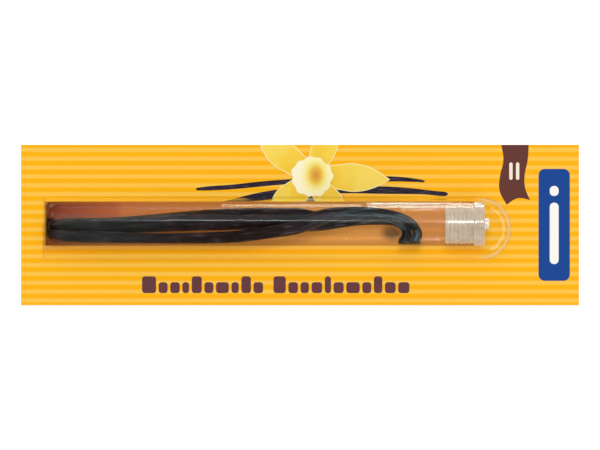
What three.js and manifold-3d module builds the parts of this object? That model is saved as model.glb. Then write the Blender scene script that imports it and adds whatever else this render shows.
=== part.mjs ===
// Vanilla pod pack: two cured vanilla pods in a clear stoppered tube, held on a printed card by a clear
// formed blister. The blister's flange is trapped between the two plies of the card.
//
// Millimetres, +Z up. The pack lies on its back with the print up. The origin is the middle of the
// card's back face, +X runs along the card towards the stopper, +Y towards the card's top edge.
import * as THREE from "three";
import { mergeVertices } from "three/addons/utils/BufferGeometryUtils.js";
import Module from "manifold-3d";

// Card: two plies of board, glued face to face.
const CARD_LENGTH = 200;
const CARD_WIDTH = 57.5;
const BACK_PLY = 0.5;
const FRONT_PLY = 0.6;
const GLUE_LINE = 0.02; // the plies' faces stay this far apart

// Blister: clear sheet formed into a bubble, square at its left end and a half circle at its right.
const SHEET = 0.3;
const BUBBLE_LEFT = -91.9; // X of the square end, where the bubble leaves the card's face
const BUBBLE_CENTRE_X = 64.5; // X of the half circle's centre
const BUBBLE_CENTRE_Y = -1.3; // the bubble's long centre line
const BUBBLE_HALF_WIDTH = 11;
const WALL_DRAFT = 0.06; // how far the walls lean in for each unit of height
const SHOULDER_RADIUS = 3.8; // radius between the wall and the flat top
const CORNER_AT_BASE = 1; // radius of the square end's corners in plan, at the card
const CORNER_AT_TOP = 3.2; // and at the flat top
const FLANGE_WIDTH = 4;
const FLANGE_CORNER = 3;
const FLANGE_RECESS = 0.32; // depth cut into the front ply's back for the flange
const WINDOW_GAP = 0.3; // between the bubble and the edge of the front ply's window

// Tube: clear plastic, closed flat at the left, with its mouth at the right.
const TUBE_RADIUS = 8;
const TUBE_WALL = 0.5;
const TUBE_LEFT = -90.65;
const TUBE_MOUTH = 62;
const TUBE_CENTRE_Y = 0.45; // it lies against the blister's upper wall
const TUBE_FLOOR = 0.6; // thickness of the closed end
const TUBE_EDGE_RADIUS = 3; // outer radius between the closed end and the side
const REST_GAP = 0.25; // between the tube and the card below it or the blister above it

// Stopper: a clear hollow plug with sealing fins, a head as wide as the tube, and a moulding nub.
const HEAD_LENGTH = 3.7;
const HEAD_RADIUS = 7.9;
const HEAD_EDGE = 0.35; // chamfer at the head's rims
const HEAD_WALL = 1.4;
const HEAD_GAP = 0.25; // between the head and the tube's mouth
const PLUG_LENGTH = 10;
const PLUG_RADIUS = 6.6;
const PLUG_WALL = 1;
const FIN_RADIUS = 7.2;
const FIN_COUNT = 6;
const FIN_THICKNESS = 0.6;
const FIN_PITCH = 1.5;
const NUB_RADIUS = 2.1;
const NUB_LENGTH = 1.7;

// How finely curves are faceted.
const TURNED_SIDES = 40;
const HALF_CIRCLE_STEPS = 24;
const SHOULDER_STEPS = 6;
const CORNER_STEPS = 4;

// Vanilla pods: long, flattened, wrinkled lengthwise, with the stem ends bent into hooks. Each station
// gives the pod's middle as x and y on the card and z from the tube's axis, then half the pod's width
// in plan and half its thickness.
const BROAD_POD = [
  [-89.75, -0.8, -1.5, 1.5, 1.0],
  [-88.6, -0.7, -1.6, 2.3, 1.5],
  [-80, -0.3, -2.4, 2.75, 1.9],
  [-73, -0.3, -2.6, 2.7, 1.95],
  [-62, 0.0, -2.7, 2.9, 2.0],
  [-49, 0.8, -2.6, 3.3, 2.0],
  [-35, 1.65, -2.5, 3.75, 2.0],
  [-20, 2.15, -2.6, 3.95, 1.9],
  [-9, 2.2, -2.8, 3.95, 1.7],
  [0, 2.1, -2.9, 3.9, 1.6],
  [4.4, 1.45, -3.0, 3.6, 1.6],
  [9, 1.2, -3.0, 3.0, 1.6],
  [14.5, 1.55, -2.8, 2.4, 1.6],
  [21, 1.95, -2.6, 1.9, 1.6],
  [31.5, 1.95, -2.2, 1.75, 1.5],
  [35.8, 0.8, -1.9, 1.7, 1.4],
  [37.9, -1.7, -1.5, 1.55, 1.3],
  [38.2, -4.0, -1.0, 1.5, 1.2],
  [37.5, -6.1, -0.4, 2.0, 1.2],
  [37.5, -6.6, -0.3, 1.8, 0.9],
];
const SLIM_POD = [
  [-89.7, -3.1, 0.8, 1.0, 0.8],
  [-88.4, -3.2, 0.8, 1.5, 1.2],
  [-84, -3.9, 0.6, 1.9, 1.4],
  [-72, -4.3, 0.4, 2.05, 1.5],
  [-54, -4.8, -0.4, 1.75, 1.5],
  [-36, -4.7, -0.8, 1.95, 1.5],
  [-22, -4.1, -0.2, 2.1, 1.5],
  [-11, -2.5, 0.9, 2.25, 1.45],
  [0, -0.6, 1.0, 2.3, 1.4],
  [5.6, 1.9, 1.0, 2.8, 1.4],
  [10, 3.4, 1.0, 2.5, 1.4],
  [16.5, 4.0, 1.1, 2.3, 1.4],
  [25, 4.05, 1.2, 2.15, 1.4],
  [31, 3.5, 1.2, 1.95, 1.35],
  [35.6, 2.6, 1.2, 1.75, 1.35],
  [38.9, 1.1, 1.0, 1.6, 1.3],
  [41.3, -1.2, 0.6, 1.5, 1.25],
  [41.95, -3.4, 0.3, 1.45, 1.2],
  [41.1, -6.1, 0.0, 1.7, 1.2],
  [41.1, -6.6, 0.0, 1.5, 1.0],
];
const RINGS_PER_STATION = 4;
const POD_SIDES = 20;
// Lengthwise wrinkles: how many run round the pod, how deep they are as a part of its radius, and how
// far they wind about it from end to end, in radians.
const WRINKLES = [
  { count: 4, depth: 0.05, winding: 2.2 },
  { count: 7, depth: 0.035, winding: -3.1 },
];

const frontFace = BACK_PLY + GLUE_LINE + FRONT_PLY;
const tubeAxisZ = BACK_PLY + REST_GAP + TUBE_RADIUS;
const bubbleTop = tubeAxisZ + TUBE_RADIUS + REST_GAP + SHEET;

const wasm = await Module();
wasm.setup();

// A closed geometry as a manifold-3d solid.
function toSolid(geometry) {
  const bare = new THREE.BufferGeometry();
  bare.setAttribute("position", geometry.getAttribute("position"));
  const merged = mergeVertices(bare, 1e-4);
  return new wasm.Manifold(
    new wasm.Mesh({
      numProp: 3,
      vertProperties: merged.attributes.position.array,
      triVerts: new Uint32Array(merged.index.array),
    }),
  );
}

// A manifold-3d solid back as a geometry.
function toGeometry(solid) {
  const mesh = solid.getMesh();
  const geometry = new THREE.BufferGeometry();
  geometry.setAttribute("position", new THREE.BufferAttribute(mesh.vertProperties, 3));
  geometry.setIndex(new THREE.BufferAttribute(mesh.triVerts, 1));
  geometry.computeVertexNormals();
  return geometry;
}

// The closed skin through a row of rings, which all have the same number of points and turn
// counter-clockwise about the way the row runs. A fan about its middle closes each end.
function loftGeometry(rings) {
  const sides = rings[0].length;
  const middleOf = (ring) =>
    ring.reduce((sum, p) => sum.add(p), new THREE.Vector3()).divideScalar(sides);
  const points = [...rings.flat(), middleOf(rings[0]), middleOf(rings.at(-1))];
  const startMiddle = rings.length * sides;
  const endMiddle = startMiddle + 1;
  const lastRing = (rings.length - 1) * sides;
  const faces = [];
  for (let i = 0; i < sides; i++) {
    const j = (i + 1) % sides;
    faces.push(startMiddle, j, i);
    for (let ring = 0; ring < lastRing; ring += sides) {
      const next = ring + sides;
      faces.push(ring + i, ring + j, next + j);
      faces.push(ring + i, next + j, next + i);
    }
    faces.push(endMiddle, lastRing + i, lastRing + j);
  }
  const geometry = new THREE.BufferGeometry().setFromPoints(points);
  geometry.setIndex(faces);
  geometry.computeVertexNormals();
  return geometry;
}

// A shape turned about the X axis: the profile is a list of [x, radius].
function turnedGeometry(profile) {
  const points = profile.map(([x, radius]) => new THREE.Vector2(radius, x));
  return new THREE.LatheGeometry(points, TURNED_SIDES).rotateZ(-Math.PI / 2);
}

function arcPoints(centreX, centreY, radius, fromAngle, toAngle, steps) {
  return Array.from({ length: steps + 1 }, (_, i) => {
    const angle = fromAngle + ((toAngle - fromAngle) * i) / steps;
    const x = centreX + radius * Math.cos(angle);
    const y = centreY + radius * Math.sin(angle);
    return new THREE.Vector2(x, y);
  });
}

// The bubble's plan, set in from its foot by an inset and turning counter-clockwise.
function bubblePlan(inset, corner) {
  const half = BUBBLE_HALF_WIDTH - inset;
  const cornerX = BUBBLE_LEFT + inset + corner;
  const upperY = BUBBLE_CENTRE_Y + half - corner;
  const lowerY = BUBBLE_CENTRE_Y - half + corner;
  const quarter = Math.PI / 2;
  return [
    ...arcPoints(BUBBLE_CENTRE_X, BUBBLE_CENTRE_Y, half, -quarter, quarter, HALF_CIRCLE_STEPS),
    ...arcPoints(cornerX, upperY, corner, quarter, 2 * quarter, CORNER_STEPS),
    ...arcPoints(cornerX, lowerY, corner, 2 * quarter, 3 * quarter, CORNER_STEPS),
  ];
}

// How far a wall of the bubble is set in at a height, from its outer foot at the card's face.
function wallInset(z) {
  return WALL_DRAFT * (z - frontFace);
}

// The wall and shoulder as levels of [inset, z, corner radius], from the card's face to the flat top.
// The inner skin is the outer one moved in by the sheet's thickness.
function bubbleSide(thickness) {
  const radius = SHOULDER_RADIUS - thickness;
  const shoulderZ = bubbleTop - SHOULDER_RADIUS;
  const shoulderInset = wallInset(shoulderZ) + SHOULDER_RADIUS;
  const turn = [Math.PI, Math.PI / 2];
  const shoulder = arcPoints(shoulderInset, shoulderZ, radius, ...turn, SHOULDER_STEPS);
  const { mapLinear } = THREE.MathUtils;
  const cornerAt = (z) => mapLinear(z, frontFace, bubbleTop, CORNER_AT_BASE, CORNER_AT_TOP);
  const levels = [
    [thickness, frontFace],
    ...shoulder.map((p) => [p.x, p.y]),
  ];
  return levels.map(([inset, z]) => [inset, z, cornerAt(z)]);
}

function blisterGeometry() {
  const flangeBack = BACK_PLY + GLUE_LINE / 2;
  const flangeTop = flangeBack + SHEET;
  const levels = [
    ...bubbleSide(SHEET).reverse(),
    [SHEET, flangeBack, CORNER_AT_BASE],
    [-FLANGE_WIDTH, flangeBack, FLANGE_CORNER],
    [-FLANGE_WIDTH, flangeTop, FLANGE_CORNER],
    [0, flangeTop, CORNER_AT_BASE],
    ...bubbleSide(0),
  ];
  return loftGeometry(
    levels.map(([inset, z, corner]) =>
      bubblePlan(inset, corner).map((p) => new THREE.Vector3(p.x, p.y, z)),
    ),
  );
}

// A flat plate whose plan is an outline, with its back face at z.
function plateGeometry(outline, z, thickness) {
  const shape = new THREE.Shape(outline);
  const options = { depth: thickness, bevelEnabled: false };
  return new THREE.ExtrudeGeometry(shape, options).translate(0, 0, z);
}

function cardPlyGeometry(z, thickness) {
  const x = CARD_LENGTH / 2;
  const y = CARD_WIDTH / 2;
  const corners = [[-x, -y], [x, -y], [x, y], [-x, y]];
  return plateGeometry(corners.map((c) => new THREE.Vector2(...c)), z, thickness);
}

// The front ply, with its window round the bubble and the shallow recess for the flange in its back.
function frontPlyGeometry() {
  const back = BACK_PLY + GLUE_LINE;
  const past = 1; // the cutters run this far past the faces
  const window = bubblePlan(-WINDOW_GAP, CORNER_AT_BASE);
  const recess = bubblePlan(-FLANGE_WIDTH - WINDOW_GAP, FLANGE_CORNER);
  const ply = toSolid(cardPlyGeometry(back, FRONT_PLY));
  const windowCut = toSolid(plateGeometry(window, back - past, FRONT_PLY + 2 * past));
  const recessCut = toSolid(plateGeometry(recess, back - past, FLANGE_RECESS + past));
  return toGeometry(ply.subtract(windowCut).subtract(recessCut));
}

function tubeGeometry() {
  const innerRadius = TUBE_RADIUS - TUBE_WALL;
  const innerEdge = TUBE_EDGE_RADIUS - TUBE_WALL;
  const innerLeft = TUBE_LEFT + TUBE_FLOOR;
  const turn = [Math.PI, Math.PI / 2, CORNER_STEPS];
  const corner = (left, radius, edge) =>
    arcPoints(left + edge, radius - edge, edge, ...turn).map((p) => [p.x, p.y]);
  return turnedGeometry([
    [TUBE_LEFT, 0],
    ...corner(TUBE_LEFT, TUBE_RADIUS, TUBE_EDGE_RADIUS),
    [TUBE_MOUTH, TUBE_RADIUS],
    [TUBE_MOUTH, innerRadius],
    ...corner(innerLeft, innerRadius, innerEdge).reverse(),
    [innerLeft, 0],
  ]);
}

function stopperGeometry() {
  const plugEnd = TUBE_MOUTH - PLUG_LENGTH;
  const headStart = TUBE_MOUTH + HEAD_GAP;
  const headEnd = headStart + HEAD_LENGTH;
  const hollow = PLUG_RADIUS - PLUG_WALL;
  const fins = [];
  for (let i = 0; i < FIN_COUNT; i++) {
    const x = plugEnd + FIN_THICKNESS + i * FIN_PITCH;
    fins.push([x, PLUG_RADIUS], [x + FIN_THICKNESS / 2, FIN_RADIUS], [x + FIN_THICKNESS, PLUG_RADIUS]);
  }
  return turnedGeometry([
    [headEnd - HEAD_WALL, 0],
    [headEnd - HEAD_WALL, hollow],
    [plugEnd, hollow],
    [plugEnd, PLUG_RADIUS],
    ...fins,
    [headStart, PLUG_RADIUS],
    [headStart, HEAD_RADIUS - HEAD_EDGE],
    [headStart + HEAD_EDGE, HEAD_RADIUS],
    [headEnd - HEAD_EDGE, HEAD_RADIUS],
    [headEnd, HEAD_RADIUS - HEAD_EDGE],
    [headEnd, NUB_RADIUS],
    [headEnd + NUB_LENGTH, NUB_RADIUS],
    [headEnd + NUB_LENGTH, 0],
  ]);
}

// A pod lofted through its stations, its section an oval with wrinkles winding slowly along it.
function podGeometry(stations) {
  const up = new THREE.Vector3(0, 0, 1);
  const middles = stations.map(([x, y, z]) => new THREE.Vector3(x, y, z));
  const halves = stations.map(([, , , width, thickness]) => new THREE.Vector3(width, thickness, 0));
  const route = new THREE.CatmullRomCurve3(middles);
  const girth = new THREE.CatmullRomCurve3(halves);
  const ringCount = (stations.length - 1) * RINGS_PER_STATION;
  const rings = [];
  for (let ring = 0; ring <= ringCount; ring++) {
    const t = ring / ringCount;
    const middle = route.getPoint(t);
    const half = girth.getPoint(t);
    const along = route.getTangent(t);
    const across = new THREE.Vector3().crossVectors(up, along).normalize();
    const over = new THREE.Vector3().crossVectors(along, across);
    const points = [];
    for (let side = 0; side < POD_SIDES; side++) {
      const angle = (2 * Math.PI * side) / POD_SIDES;
      const relief = WRINKLES.reduce(
        (sum, w) => sum + w.depth * Math.cos(w.count * angle + w.winding * w.count * t),
        1,
      );
      points.push(
        middle
          .clone()
          .addScaledVector(across, half.x * relief * Math.cos(angle))
          .addScaledVector(over, half.y * relief * Math.sin(angle)),
      );
    }
    rings.push(points);
  }
  return loftGeometry(rings);
}

function namedMesh(name, geometry, finish) {
  const mesh = new THREE.Mesh(geometry, new THREE.MeshStandardMaterial(finish));
  mesh.name = name;
  return mesh;
}

const clear = (color, opacity) => ({
  color,
  roughness: 0.1,
  metalness: 0,
  transparent: true,
  opacity,
});

// The tube, its stopper and the pods share the tube's axis, which lies along X above the card.
const tubeGroup = new THREE.Group();
tubeGroup.position.set(0, TUBE_CENTRE_Y, tubeAxisZ);
tubeGroup.add(namedMesh("tube", tubeGeometry(), clear(0xf4efe6, 0.35)));
tubeGroup.add(namedMesh("stopper", stopperGeometry(), clear(0xdedad2, 0.6)));

const podGroup = new THREE.Group();
podGroup.position.set(0, 0, tubeAxisZ);
const podFinish = { color: 0x241512, roughness: 0.45, metalness: 0 };
podGroup.add(namedMesh("pod_broad", podGeometry(BROAD_POD), podFinish));
podGroup.add(namedMesh("pod_slim", podGeometry(SLIM_POD), podFinish));

const pack = new THREE.Group();
const boardFinish = { color: 0xfdb306, roughness: 0.55, metalness: 0 };
pack.add(namedMesh("card_back", cardPlyGeometry(0, BACK_PLY), boardFinish));
pack.add(namedMesh("card_front", frontPlyGeometry(), boardFinish));
pack.add(namedMesh("blister", blisterGeometry(), clear(0xf6f2ea, 0.3)));
pack.add(tubeGroup, podGroup);

export default pack;
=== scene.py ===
import math

import bmesh
import bpy
import numpy as np
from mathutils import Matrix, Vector, noise


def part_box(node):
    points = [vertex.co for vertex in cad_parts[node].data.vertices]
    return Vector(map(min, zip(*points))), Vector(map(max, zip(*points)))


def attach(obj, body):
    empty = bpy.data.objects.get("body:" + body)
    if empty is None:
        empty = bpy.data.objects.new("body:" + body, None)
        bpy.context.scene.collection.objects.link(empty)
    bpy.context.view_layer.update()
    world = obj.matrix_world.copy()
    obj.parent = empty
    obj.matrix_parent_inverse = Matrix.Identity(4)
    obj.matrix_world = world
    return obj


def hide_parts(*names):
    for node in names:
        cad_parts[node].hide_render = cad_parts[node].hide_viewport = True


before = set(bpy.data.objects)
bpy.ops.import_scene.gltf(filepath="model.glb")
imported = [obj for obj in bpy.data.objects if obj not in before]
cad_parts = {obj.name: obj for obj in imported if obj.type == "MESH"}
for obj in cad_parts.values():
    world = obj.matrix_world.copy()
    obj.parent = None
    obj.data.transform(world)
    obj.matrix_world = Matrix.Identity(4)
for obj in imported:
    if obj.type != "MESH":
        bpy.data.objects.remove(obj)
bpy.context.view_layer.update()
MM = 0.001


# ------------------------------------------------------------
# Card. Two plies of coated carton board, offset printed with soft-edged stripes and varnished.
# The plies are die-cut and glued face to face, so the cut edges show the grey-white board core.
BOARD_ORANGE = "#ffb404"
STRIPE_ORANGE = "#ffc64b"
BOARD_CORE = "#e3dccd"
STRIPE_PITCH = 3.175  # mm
STRIPE_CENTRE = 26.94  # mm, the top stripe's middle line above the card's long centre line
STRIPE_INNER = 0.35  # mm from a stripe's middle to where it starts to fade
STRIPE_OUTER = 1.05  # mm from a stripe's middle to where it has gone
EDGE_HIGHLIGHT = -11.95  # mm, a painted highlight: a pale line along the window's lower edge, where the blister's foot catches the light
MOTTLE_SIZE = 0.625  # mm
FIBRE_SIZE = 0.2  # mm, coarser than real fibres, which are too fine to show
FIBRE_RELIEF = 0.02 * MM

# Painted light and shade: the back ply's colour is made brighter, darker or redder than the front ply's, by
# where it lies round the brown field, to stand in for the light and shade seen through the clear walls.
# From the factor below the field's left part, each of these takes over along an axis, in mm.
PLY_PAINTED_LIGHT = (1.22, 1.0, 1.0)
PLY_PAINTED_LIGHTS = [
    ("X", -80, -90, (0.86, 0.68, 1.0)),  # the window's left end
    ("X", -20, 10, (1.06, 0.97, 1.0)),  # below the field's right part
    ("Y", -8.2, -11.5, (1.1, 1.06, 1.0)),  # the window's lower edge
    ("Y", -1, 1, (1.1, 1.13, 0.9)),  # above the field
    ("Y", 9.1, 9.7, (1.35, 1.42, 0.9)),  # the window's upper cut edge
    ("X", 64, 67, (0.95, 0.99, 1.3)),  # under the blister's round end
]

# Painted shade: the card behind the tube is coloured darker, a brown field, redder towards the tube's
# closed end, standing in for the shade under the tube and the pods.
FIELD_LEFT, FIELD_RIGHT = -91.7, 66.0  # mm
FIELD_LOW, FIELD_HIGH = -7.4, 8.42  # mm
FIELD_SOFTNESS = 0.25  # mm
FIELD_TOP_SHADE = (0.92, 0.8, 0.85)  # painted shade: the field is redder along its top edge
FIELD_TOP_ROWS = (6.2, 7.4)  # mm, where that begins and is full
FIELD_SHADE_STOPS = [
    (0.0, "#6a2a1c"), (0.05, "#94452a"), (0.165, "#bb6336"), (0.18, "#cb7540"), (0.35, "#d8883f"),
    (0.6, "#e89c46"), (0.75, "#e59c4c"), (0.87, "#d98e49"), (1.0, "#d99a5c"),
]
# Painted shadows: dark ovals under the pods' tips and by their hooks: the middle and the reach in mm, the
# shares of the reach where it has gone and where it is full, its strength and its colour.
SHADES = [
    ((-89.6, -1.1, 0), (3.2, 3.6), 1.15, 0.85, 1, "#1c0e10"),
    ((33.0, -2.8, 0), (4.2, 3.1), 1.2, 0.45, 0.68, "#2e2522"),
]


def linear(colour):
    """An sRGB hex colour as linear red, green, blue and alpha."""
    parts = [int(colour[i : i + 2], 16) / 255 for i in (1, 3, 5)]
    return [c / 12.92 if c <= 0.04045 else ((c + 0.055) / 1.055) ** 2.4 for c in parts] + [1]


def add(material, kind, inputs=None, stops=(), **settings):
    """Adds a node with its settings. An input takes a value, an output socket, or a node, which
    stands for its first output."""
    tree = material.node_tree
    node = tree.nodes.new("ShaderNode" + kind)
    for name, value in settings.items():
        setattr(node, name, value)
    for key, value in (inputs or {}).items():
        if isinstance(value, bpy.types.Node):
            value = value.outputs[0]
        if isinstance(value, bpy.types.NodeSocket):
            tree.links.new(value, node.inputs[key])
        else:
            node.inputs[key].default_value = value
    for i, (place, colour) in enumerate(stops):
        ramp = node.color_ramp.elements
        stop = ramp[i] if i < 2 else ramp.new(place)
        stop.position = place
        stop.color = linear(colour)
    return node


def start_material(name, roughness, specular=0.5, **sockets):
    """A material with one Principled shader, its plain sockets set, and Object coordinates in mm."""
    material = bpy.data.materials.new(name)
    material.use_nodes = True
    shader = material.node_tree.nodes["Principled BSDF"]
    for socket, value in {"Roughness": roughness, "Specular_IOR_Level": specular, **sockets}.items():
        shader.inputs[socket.replace("_", " ")].default_value = value
    place = add(material, "TexCoord")
    in_mm = {"Vector": place.outputs["Object"], "Scale": (1 / MM, 1 / MM, 1 / MM)}
    in_mm = add(material, "Mapping", in_mm)
    return material, shader, in_mm


def add_relief(material, shader, height, depth, strength=1.0):
    """Bump on a material's surface, as deep as the real relief."""
    bump = add(material, "Bump", {"Height": height, "Strength": strength, "Distance": depth})
    material.node_tree.links.new(bump.outputs[0], shader.inputs["Normal"])


def print_on_board(material, shader, in_mm, colour):
    """Ink on coated board: the colour with a faint mottle, over the board's low fibre relief."""
    mottle = add(material, "TexNoise", {"Vector": in_mm, "Scale": 1 / MOTTLE_SIZE, "Detail": 3})
    level = add(material, "MapRange", {0: mottle, 3: 0.985, 4: 1.015})
    inked = add(material, "VectorMath", {0: colour, "Scale": level}, operation="SCALE")
    material.node_tree.links.new(inked.outputs[0], shader.inputs["Base Color"])
    fibres = add(material, "TexNoise", {"Vector": in_mm, "Scale": 1 / FIBRE_SIZE, "Detail": 4})
    add_relief(material, shader, fibres, FIBRE_RELIEF, strength=0.12)


# Offset ink under a thin varnish: flat, even colour with a weak, soft sheen.
board, shader, in_mm = start_material("offset_printed_carton_board", 0.45, 0.12)
card_at = add(board, "SeparateXYZ", {0: in_mm}).outputs
from_stripe = add(board, "Math", {0: card_at["Y"], 1: STRIPE_CENTRE}, operation="SUBTRACT")
from_stripe = add(board, "Math", {0: from_stripe, 1: STRIPE_PITCH / 2}, operation="PINGPONG")
stripe = {0: from_stripe, 1: STRIPE_OUTER, 2: STRIPE_INNER}
stripe = add(board, "MapRange", stripe, interpolation_type="SMOOTHSTEP")
on_back_ply = add(board, "MapRange", {0: card_at["Z"], 1: 0.8, 2: 0.6})  # mm, between the plies' faces
# Painted highlight along the window's lower edge, on the back ply only.
edge_highlight = add(board, "Math", {0: card_at["Y"], 1: EDGE_HIGHLIGHT}, operation="SUBTRACT")
edge_highlight = add(board, "Math", {0: edge_highlight}, operation="ABSOLUTE")
edge_highlight = add(board, "MapRange", {0: edge_highlight, 1: 0.8, 2: 0.3})
edge_highlight = add(board, "Math", {0: edge_highlight, 1: on_back_ply}, operation="MULTIPLY")
pale = add(board, "Math", {0: stripe, 1: edge_highlight}, operation="MAXIMUM")
striped = {0: pale, 6: linear(BOARD_ORANGE), 7: linear(STRIPE_ORANGE)}
striped = add(board, "Mix", striped, data_type="RGBA").outputs[2]

# Painted light and shade on the back ply, zone by zone.
ply_painted_light = PLY_PAINTED_LIGHT
for axis, start, end, next_painted_light in PLY_PAINTED_LIGHTS:
    share = add(board, "MapRange", {0: card_at[axis], 1: start, 2: end})
    ply_painted_light = {0: share, 4: ply_painted_light, 5: next_painted_light}
    ply_painted_light = add(board, "Mix", ply_painted_light, data_type="VECTOR").outputs[1]
painted_light_colour = add(board, "VectorMath", {0: striped, 1: ply_painted_light}, operation="MULTIPLY")
striped = add(board, "Mix", {0: on_back_ply, 6: striped, 7: painted_light_colour}, data_type="RGBA").outputs[2]

# Painted shade: the brown field behind the tube, redder at its top, and the dark ovals under the pods' tips
# and hooks.
along_field = add(board, "MapRange", {0: card_at["X"], 1: FIELD_LEFT, 2: FIELD_RIGHT})
field = add(board, "ValToRGB", {0: along_field}, stops=FIELD_SHADE_STOPS)
field_stripe = add(board, "MapRange", {0: stripe, 3: 1.0, 4: 1.12})
field = add(board, "VectorMath", {0: field, "Scale": field_stripe}, operation="SCALE")
top_rows = add(board, "MapRange", {0: card_at["Y"], 1: FIELD_TOP_ROWS[0], 2: FIELD_TOP_ROWS[1]})
field_top = add(board, "VectorMath", {0: field, 1: FIELD_TOP_SHADE}, operation="MULTIPLY")
field = add(board, "Mix", {0: top_rows, 6: field, 7: field_top}, data_type="RGBA").outputs[2]
for middle, (along, across), gone, full, strength, shade_colour in SHADES:
    away = add(board, "VectorMath", {0: in_mm, 1: middle}, operation="SUBTRACT")
    away = {0: away, 1: (1 / along, 1 / across, 0)}
    away = add(board, "VectorMath", away, operation="MULTIPLY")
    away = add(board, "VectorMath", {0: away}, operation="LENGTH").outputs["Value"]
    dark = add(board, "MapRange", {0: away, 1: gone, 2: full, 3: 0, 4: strength})
    field = {0: dark, 6: field, 7: linear(shade_colour)}
    field = add(board, "Mix", field, data_type="RGBA").outputs[2]
inside = 1.0
for axis, low, high, soft in (
    ("X", FIELD_LEFT, FIELD_RIGHT, FIELD_SOFTNESS),
    ("Y", FIELD_LOW, FIELD_HIGH, FIELD_SOFTNESS),
    ("Z", 0.25, 0.8, 0.05),  # the back ply's face, and neither its back nor the front ply
):
    half = (high - low) / 2
    away = add(board, "Math", {0: card_at[axis], 1: (low + high) / 2}, operation="SUBTRACT")
    away = add(board, "Math", {0: away}, operation="ABSOLUTE")
    within = add(board, "MapRange", {0: away, 1: half + soft, 2: half - soft})
    inside = add(board, "Math", {0: inside, 1: within}, operation="MULTIPLY")
# The print, with the painted shade of the field behind the tube set into it.
printed = add(board, "Mix", {0: inside, 6: striped, 7: field}, data_type="RGBA").outputs[2]

facing = add(board, "SeparateXYZ", {0: add(board, "TexCoord").outputs["Normal"]})
upright = add(board, "Math", {0: facing.outputs["Z"]}, operation="ABSOLUTE")
on_face = add(board, "Math", {0: upright, 1: 0.5}, operation="GREATER_THAN")
board_colour = {0: on_face, 6: linear(BOARD_CORE), 7: printed}
board_colour = add(board, "Mix", board_colour, data_type="RGBA").outputs[2]
print_on_board(board, shader, in_mm, board_colour)

for ply in ("card_back", "card_front"):
    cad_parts[ply].data.materials.clear()
    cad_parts[ply].data.materials.append(board)


# ------------------------------------------------------------
# Printed motifs. Solid ink shapes on the card: a generic yellow flower over two dark pods, a brown
# ribbon, a blue panel, and plain bars where the wording would be. Each is a thin plate of ink.
CARD_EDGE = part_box("card_front")[1].y - 0.01 * MM  # motifs end just inside the card's top edge
FRONT_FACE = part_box("card_front")[1].z
BACK_PLY_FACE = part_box("card_back")[1].z
INK = 0.02 * MM  # one layer of print, thicker than real ink so that layers keep apart
INK_FINISH = (0.42, 0.2)  # the roughness and specular level of varnished ink
WINDOW_EDGE = 9.97 * MM  # the window's upper edge, where the print steps down to the back ply
TUBE_EDGE = FIELD_HIGH * MM  # where the motifs end and the brown field starts


def take(piece):
    """Selects one piece and nothing else."""
    bpy.ops.object.select_all(action="DESELECT")
    piece.select_set(True)
    bpy.context.view_layer.objects.active = piece


def open_up(piece):
    """Starts to edit a piece, with all of its mesh selected."""
    take(piece)
    bpy.ops.object.mode_set(mode="EDIT")
    bpy.ops.mesh.select_all(action="SELECT")


def done_editing():
    bpy.ops.object.mode_set(mode="OBJECT")


def start_from(primitive, **sizes):
    """Adds a primitive, or the first form of a curve, with nothing else selected."""
    bpy.ops.object.select_all(action="DESELECT")
    primitive(**sizes)
    return bpy.context.object


def settle(piece):
    """Puts a piece's place, turn and size into its mesh."""
    take(piece)
    bpy.ops.object.transform_apply(location=True, rotation=True, scale=True)


def pick(piece, kind, test):
    """In edit mode, selects only the edges or faces that pass the test."""
    bpy.ops.mesh.select_mode(type={"edges": "EDGE", "faces": "FACE"}[kind])
    bpy.ops.mesh.select_all(action="DESELECT")
    shape = bmesh.from_edit_mesh(piece.data)
    for part in getattr(shape, kind):
        if test(part):
            part.select_set(True)
    shape.select_flush_mode()
    bmesh.update_edit_mesh(piece.data)


def finish_piece(piece, name, material):
    """Names a piece, gives it its finish, and lets it ride with the pack."""
    piece.name = name
    piece.data.name = name
    piece.data.materials.clear()
    piece.data.materials.append(material)
    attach(piece, "root")


def finish_print(piece, name, ink):
    finish_piece(piece, "print_" + name, ink)


def cut(piece, height, keep_above):
    """Cuts a piece straight across at a height on the card and closes the cut."""
    open_up(piece)
    bpy.ops.mesh.bisect(
        plane_co=(0, height, 0),
        plane_no=(0, 1, 0),
        use_fill=True,
        clear_inner=keep_above,
        clear_outer=not keep_above,
        threshold=1e-7,
    )
    done_editing()


def join_pieces(pieces):
    take(pieces[0])
    for piece in pieces[1:]:
        piece.select_set(True)
    if len(pieces) > 1:
        bpy.ops.object.join()
    return pieces[0]


def lay_on_card(piece):
    """Trims a motif to the card and steps what lies inside the window down to the back ply."""
    settle(piece)
    heights = [v.co.y for v in piece.data.vertices]
    if max(heights) > CARD_EDGE:
        cut(piece, CARD_EDGE, keep_above=False)
    if min(heights) >= WINDOW_EDGE:
        return piece
    lower = piece.copy()
    lower.data = piece.data.copy()
    bpy.context.collection.objects.link(lower)
    cut(piece, WINDOW_EDGE, keep_above=True)
    cut(lower, WINDOW_EDGE, keep_above=False)
    cut(lower, TUBE_EDGE, keep_above=True)
    for v in lower.data.vertices:
        v.co.z += BACK_PLY_FACE - FRONT_FACE
    return join_pieces([piece, lower])


def close_up(piece):
    """Merges doubled points and turns every face outwards."""
    open_up(piece)
    bpy.ops.mesh.remove_doubles(threshold=1e-7)
    bpy.ops.mesh.normals_make_consistent(inside=False)
    done_editing()


def thicken(plate):
    """Gives a flat print the thickness of one layer of ink."""
    open_up(plate)
    bpy.ops.mesh.extrude_region_move(TRANSFORM_OT_translate={"value": (0, 0, INK)})
    done_editing()
    close_up(plate)


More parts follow.
